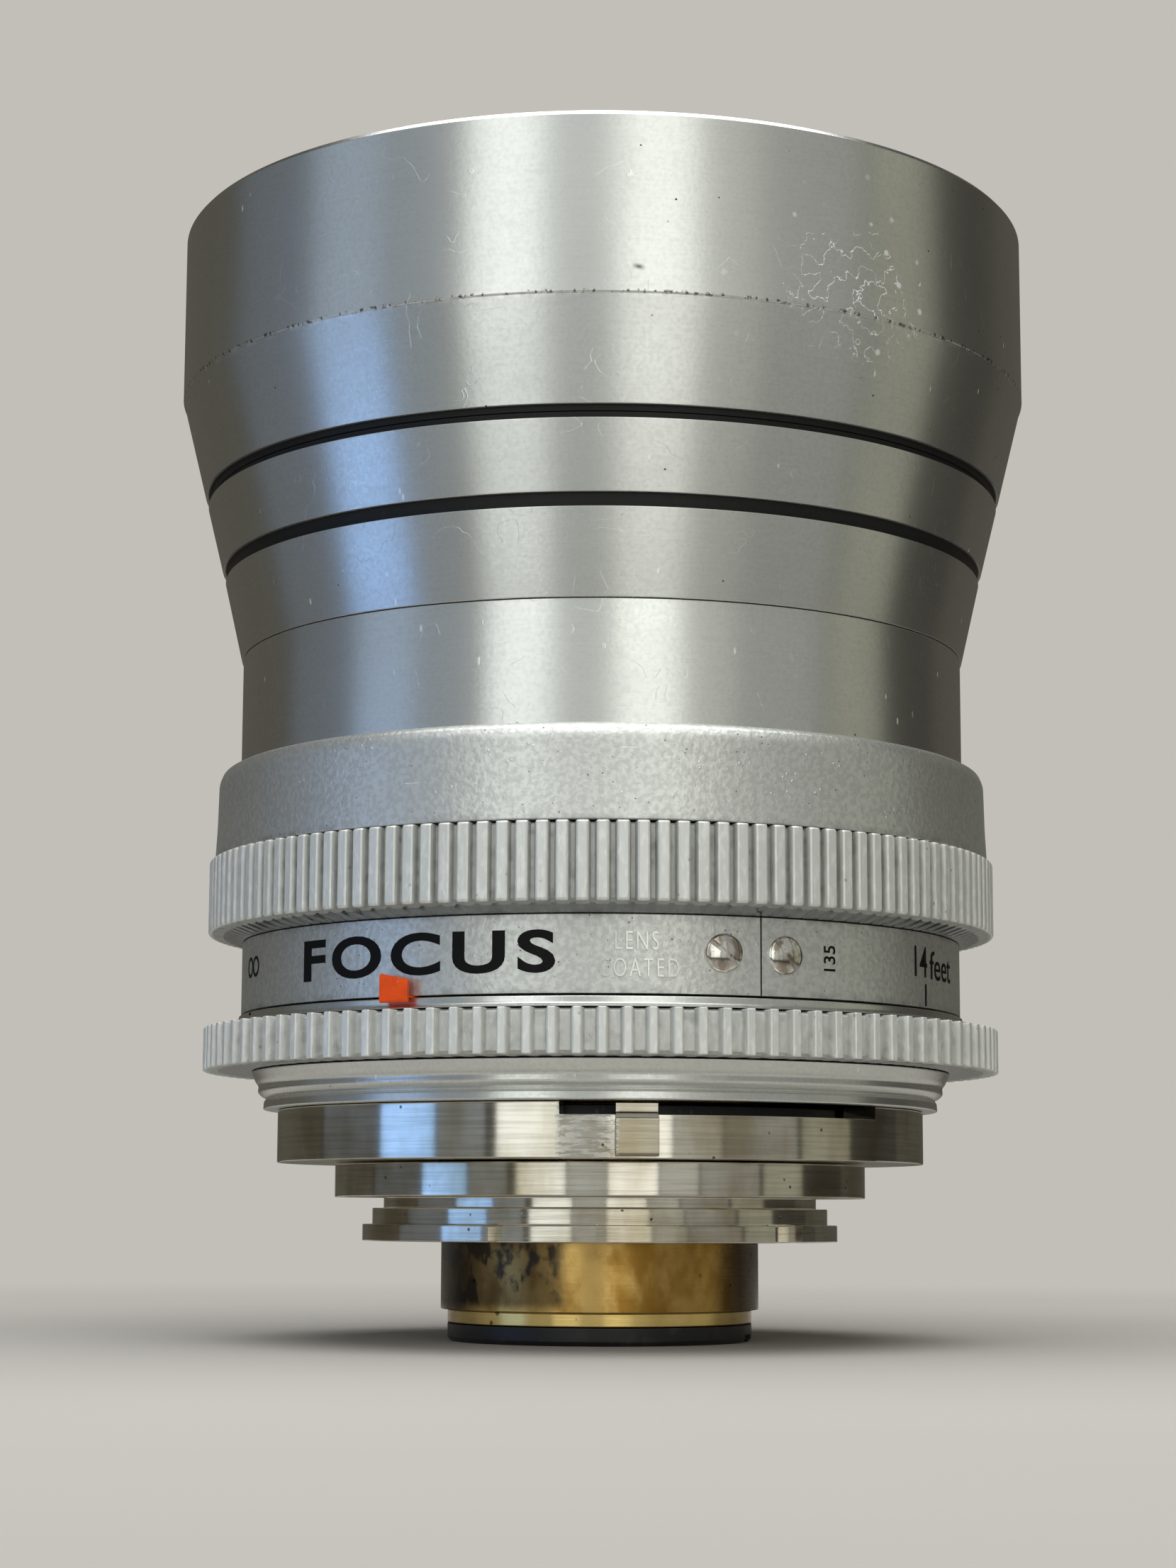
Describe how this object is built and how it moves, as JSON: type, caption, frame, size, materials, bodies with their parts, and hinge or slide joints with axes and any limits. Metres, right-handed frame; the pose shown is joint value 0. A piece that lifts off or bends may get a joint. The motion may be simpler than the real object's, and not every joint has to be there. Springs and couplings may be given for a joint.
{
  "type": "camera lens",
  "caption": "Telephoto interchangeable camera lens in satin aluminium with a steel bayonet mount, knurled focusing ring, scale band, iris and a short brass rear tube.",
  "frame": {"origin": "centre of the rear retaining ring's end face, the lowest point on the optical axis", "axes": "+Z along the optical axis from the mount to the front rim; -Y is the side that carries the aperture coupling lug and the scale band's two screws"},
  "size_m": [0.062, 0.062, 0.08],
  "materials": {
    "steel": "turned and finely brushed round the axis, satin",
    "screw_steel": "plain slotted screw heads, slightly worn",
    "satin_aluminium": "satin anodised, with small chips and scratches",
    "knurled_aluminium": "knurled, bright crests and finely blasted valleys",
    "blasted_aluminium": "bead-blasted matt satin",
    "brass": "turned brass with brown patina",
    "orange_paint": "orange-red enamel on a thin metal flag",
    "black_paint": "matt black anti-reflection paint",
    "blackened_steel": "blued spring steel",
    "coated_glass": "polished optical glass with a blue-violet coating"
  },
  "bodies": {
    "mount": {"bayonet_ring": "steel", "mount_screw_1": "screw_steel", "mount_screw_2": "screw_steel", "mount_screw_3": "screw_steel", "mount_screw_4": "screw_steel", "register_ring": "steel", "mount_ring": "steel", "rear_collar": "satin_aluminium", "mount_grip": "knurled_aluminium", "index_ring": "satin_aluminium", "core_tube": "brass", "guide_key": "brass"},
    "focus": {"focus_sleeve": "brass", "focus_grip": "knurled_aluminium", "shoulder_ring": "blasted_aluminium", "scale_band": "blasted_aluminium", "band_screw_1": "screw_steel", "band_screw_2": "screw_steel"},
    "aperture": {"aperture_ring": "steel"},
    "pointer_near": {"pointer_near": "orange_paint"},
    "pointer_far": {"pointer_far": "orange_paint"},
    "barrel": {"front_barrel": "satin_aluminium", "taper_barrel": "satin_aluminium", "neck_tube": "satin_aluminium", "inner_barrel": "black_paint", "front_baffle": "black_paint", "front_cell": "black_paint", "front_retaining_ring": "black_paint", "front_lens": "coated_glass", "spacer_ring": "black_paint", "crown_lens": "coated_glass", "flint_lens": "coated_glass", "rear_tube": "brass", "rear_retaining_ring": "black_paint", "rear_lens": "coated_glass", "rear_spacer": "black_paint", "inner_lens": "coated_glass", "iris_plate": "black_paint"},
    "iris_drive": {"iris_drive_ring": "blackened_steel"},
    "blade_1": {"iris_blade_1": "blackened_steel"},
    "blade_2": {"iris_blade_2": "blackened_steel"},
    "blade_3": {"iris_blade_3": "blackened_steel"},
    "blade_4": {"iris_blade_4": "blackened_steel"},
    "blade_5": {"iris_blade_5": "blackened_steel"}
  },
  "joints": [
    {"name": "focus_turn", "type": "hinge", "parent": "mount", "child": "focus", "pos_m": [0, 0, 0.03], "axis": [0, 0, 1], "range_deg": [0, 232.2]},
    {"name": "barrel_slide", "type": "slide", "parent": "mount", "child": "barrel", "axis": [0, 0, 1], "range_m": [0, 0.0044]},
    {"name": "aperture_turn", "type": "hinge", "parent": "mount", "child": "aperture", "pos_m": [0, 0, 0.015], "axis": [0, 0, 1], "range_deg": [-8.2, 43]},
    {"name": "pointer_near_turn", "type": "hinge", "parent": "mount", "child": "pointer_near", "pos_m": [0, 0, 0.0227], "axis": [0, 0, 1], "range_deg": [-30.2, 5.8]},
    {"name": "pointer_far_turn", "type": "hinge", "parent": "mount", "child": "pointer_far", "pos_m": [0, 0, 0.0227], "axis": [0, 0, 1], "range_deg": [-5.8, 30.2]},
    {"name": "iris_drive_turn", "type": "hinge", "parent": "barrel", "child": "iris_drive", "pos_m": [0, 0, 0.0215], "axis": [0, 0, 1], "range_deg": [-8.3, 43.1]},
    {"name": "iris_blade_1_swing", "type": "hinge", "parent": "barrel", "child": "blade_1", "pos_m": [0, -0.0142, 0.019], "axis": [0, 0, 1], "range_deg": [-28.05, 5.4]},
    {"name": "iris_blade_2_swing", "type": "hinge", "parent": "barrel", "child": "blade_2", "pos_m": [0.01351, -0.00439, 0.019], "axis": [0, 0, 1], "range_deg": [-28.05, 5.4]},
    {"name": "iris_blade_3_swing", "type": "hinge", "parent": "barrel", "child": "blade_3", "pos_m": [0.00835, 0.01149, 0.019], "axis": [0, 0, 1], "range_deg": [-28.05, 5.4]},
    {"name": "iris_blade_4_swing", "type": "hinge", "parent": "barrel", "child": "blade_4", "pos_m": [-0.00835, 0.01149, 0.019], "axis": [0, 0, 1], "range_deg": [-28.05, 5.4]},
    {"name": "iris_blade_5_swing", "type": "hinge", "parent": "barrel", "child": "blade_5", "pos_m": [-0.01351, -0.00439, 0.019], "axis": [0, 0, 1], "range_deg": [-28.05, 5.4]}
  ],
  "couplings": [
    {"joint": "barrel_slide", "follows": "focus_turn", "m_per_rad": 0.0010857},
    {"joint": "pointer_near_turn", "follows": "aperture_turn", "ratio": -0.7},
    {"joint": "pointer_far_turn", "follows": "aperture_turn", "ratio": 0.7},
    {"joint": "iris_drive_turn", "follows": "aperture_turn", "ratio": 1},
    {"joint": "iris_blade_1_swing", "follows": "aperture_turn", "ratio": -0.65},
    {"joint": "iris_blade_2_swing", "follows": "aperture_turn", "ratio": -0.65},
    {"joint": "iris_blade_3_swing", "follows": "aperture_turn", "ratio": -0.65},
    {"joint": "iris_blade_4_swing", "follows": "aperture_turn", "ratio": -0.65},
    {"joint": "iris_blade_5_swing", "follows": "aperture_turn", "ratio": -0.65}
  ]
}
